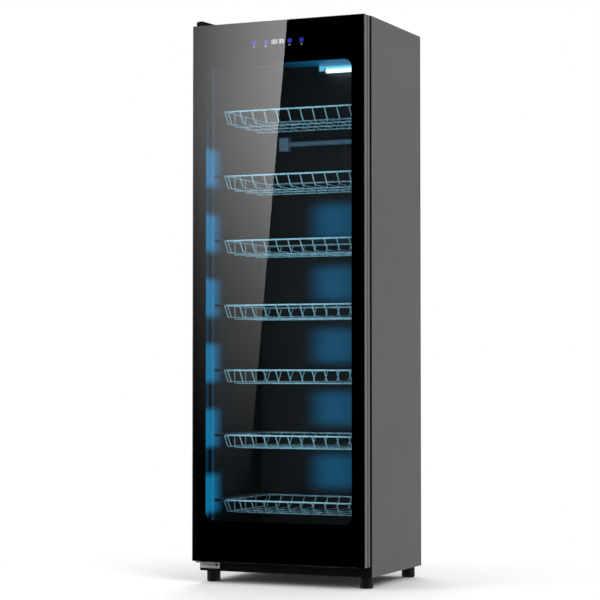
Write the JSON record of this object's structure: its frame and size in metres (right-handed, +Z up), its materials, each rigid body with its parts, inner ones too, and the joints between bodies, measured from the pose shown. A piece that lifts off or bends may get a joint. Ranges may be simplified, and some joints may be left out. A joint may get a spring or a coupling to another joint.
{
  "type": "dish sterilizer cabinet",
  "caption": "Tall dish sterilizer cabinet with a pivoted full-height glass door, sliding wire baskets in side channels, lamps and a hot-air blower in the base.",
  "frame": {"origin": "on the floor under the middle of the cabinet", "axes": "+Z up, the door faces -Y, +X to the right seen from the front"},
  "size_m": [0.55, 0.455, 1.664],
  "materials": {
    "body_paint": "satin",
    "plinth_paint": "satin",
    "liner_steel": "brushed",
    "basket_wire": "polished",
    "insulation": "matte",
    "door_glass": "polished",
    "black_enamel": "gloss",
    "door_aluminium": "anodised satin",
    "spacer_aluminium": "satin",
    "black_plastic": "matte",
    "circuit_board": "satin",
    "gasket_rubber": "matte",
    "hinge_plastic": "satin",
    "hinge_black": "satin",
    "pin_steel": "satin",
    "zinc_plate": "zinc plated",
    "screw_steel": "satin",
    "lamp_plastic": "satin",
    "tube_glass": "polished",
    "cap_aluminium": "satin",
    "diffuser": "satin",
    "blower_plastic": "satin",
    "motor_steel": "zinc plated",
    "heater_aluminium": "mill",
    "driver_white": "satin"
  },
  "bodies": {
    "cabinet": {"side_panel_right": "body_paint", "side_panel_left": "body_paint", "top_panel": "body_paint", "rear_panel": "body_paint", "base_pan": "plinth_paint", "feet": "black_plastic", "head_rail": "body_paint", "sill_rail": "body_paint", "liner_right": "liner_steel", "liner_left": "liner_steel", "liner_back": "liner_steel", "liner_top": "liner_steel", "liner_floor": "liner_steel", "insulation": "insulation", "runners_right": "liner_steel", "runners_left": "liner_steel", "upper_hinge_bracket": "hinge_black", "upper_hinge_pin": "pin_steel", "hinge_cover": "black_plastic", "lower_hinge_arm": "hinge_black", "lower_hinge_pin": "pin_steel", "lower_hinge_plate": "zinc_plate", "hinge_screws": "screw_steel", "lamp_housing": "lamp_plastic", "lamp_tube": "tube_glass", "uv_holders": "lamp_plastic", "uv_tube": "tube_glass", "tube_caps": "cap_aluminium", "light_strip_right": "diffuser", "light_strip_left": "diffuser", "blower_housing": "blower_plastic", "blower_motor": "motor_steel", "heater": "heater_aluminium", "control_board": "circuit_board", "lamp_driver": "driver_white", "cable_inlet": "black_plastic"},
    "door": {"door_glass": "door_glass", "door_border_print": "black_enamel", "door_profile_right": "door_aluminium", "door_profile_left": "door_aluminium", "door_rail_top": "door_aluminium", "door_rail_bottom": "door_aluminium", "control_housing": "black_plastic", "touch_board": "circuit_board", "door_inner_glass": "door_glass", "glass_spacer": "spacer_aluminium", "door_gasket": "gasket_rubber", "hinge_bushes": "hinge_plastic"},
    "basket_1_body": {"basket_1": "basket_wire"},
    "basket_2_body": {"basket_2": "basket_wire"},
    "basket_3_body": {"basket_3": "basket_wire"},
    "basket_4_body": {"basket_4": "basket_wire"},
    "basket_5_body": {"basket_5": "basket_wire"},
    "basket_6_body": {"basket_6": "basket_wire"},
    "basket_7_body": {"basket_7": "basket_wire"},
    "blower_rotor": {"blower_wheel": "blower_plastic"}
  },
  "joints": [
    {"name": "door_swing", "type": "hinge", "parent": "cabinet", "child": "door", "pos_m": [-0.263, -0.2095, 0.855], "axis": [0, 0, -1], "range_deg": [0, 120]},
    {"name": "basket_1_slide", "type": "slide", "parent": "cabinet", "child": "basket_1_body", "axis": [0, -1, 0], "range_m": [0, 0.19]},
    {"name": "basket_2_slide", "type": "slide", "parent": "cabinet", "child": "basket_2_body", "axis": [0, -1, 0], "range_m": [0, 0.19]},
    {"name": "basket_3_slide", "type": "slide", "parent": "cabinet", "child": "basket_3_body", "axis": [0, -1, 0], "range_m": [0, 0.19]},
    {"name": "basket_4_slide", "type": "slide", "parent": "cabinet", "child": "basket_4_body", "axis": [0, -1, 0], "range_m": [0, 0.19]},
    {"name": "basket_5_slide", "type": "slide", "parent": "cabinet", "child": "basket_5_body", "axis": [0, -1, 0], "range_m": [0, 0.19]},
    {"name": "basket_6_slide", "type": "slide", "parent": "cabinet", "child": "basket_6_body", "axis": [0, -1, 0], "range_m": [0, 0.19]},
    {"name": "basket_7_slide", "type": "slide", "parent": "cabinet", "child": "basket_7_body", "axis": [0, -1, 0], "range_m": [0, 0.19]},
    {"name": "blower_spin", "type": "hinge", "parent": "cabinet", "child": "blower_rotor", "pos_m": [0, 0.02, 0.09], "axis": [0, 0, 1], "continuous": true}
  ],
  "couplings": [
    {"joint": "basket_1_slide", "follows": "door_swing", "m_per_rad": 0.09},
    {"joint": "basket_2_slide", "follows": "door_swing", "m_per_rad": 0.09},
    {"joint": "basket_3_slide", "follows": "door_swing", "m_per_rad": 0.09},
    {"joint": "basket_4_slide", "follows": "door_swing", "m_per_rad": 0.09},
    {"joint": "basket_5_slide", "follows": "door_swing", "m_per_rad": 0.09},
    {"joint": "basket_6_slide", "follows": "door_swing", "m_per_rad": 0.09},
    {"joint": "basket_7_slide", "follows": "door_swing", "m_per_rad": 0.09}
  ]
}
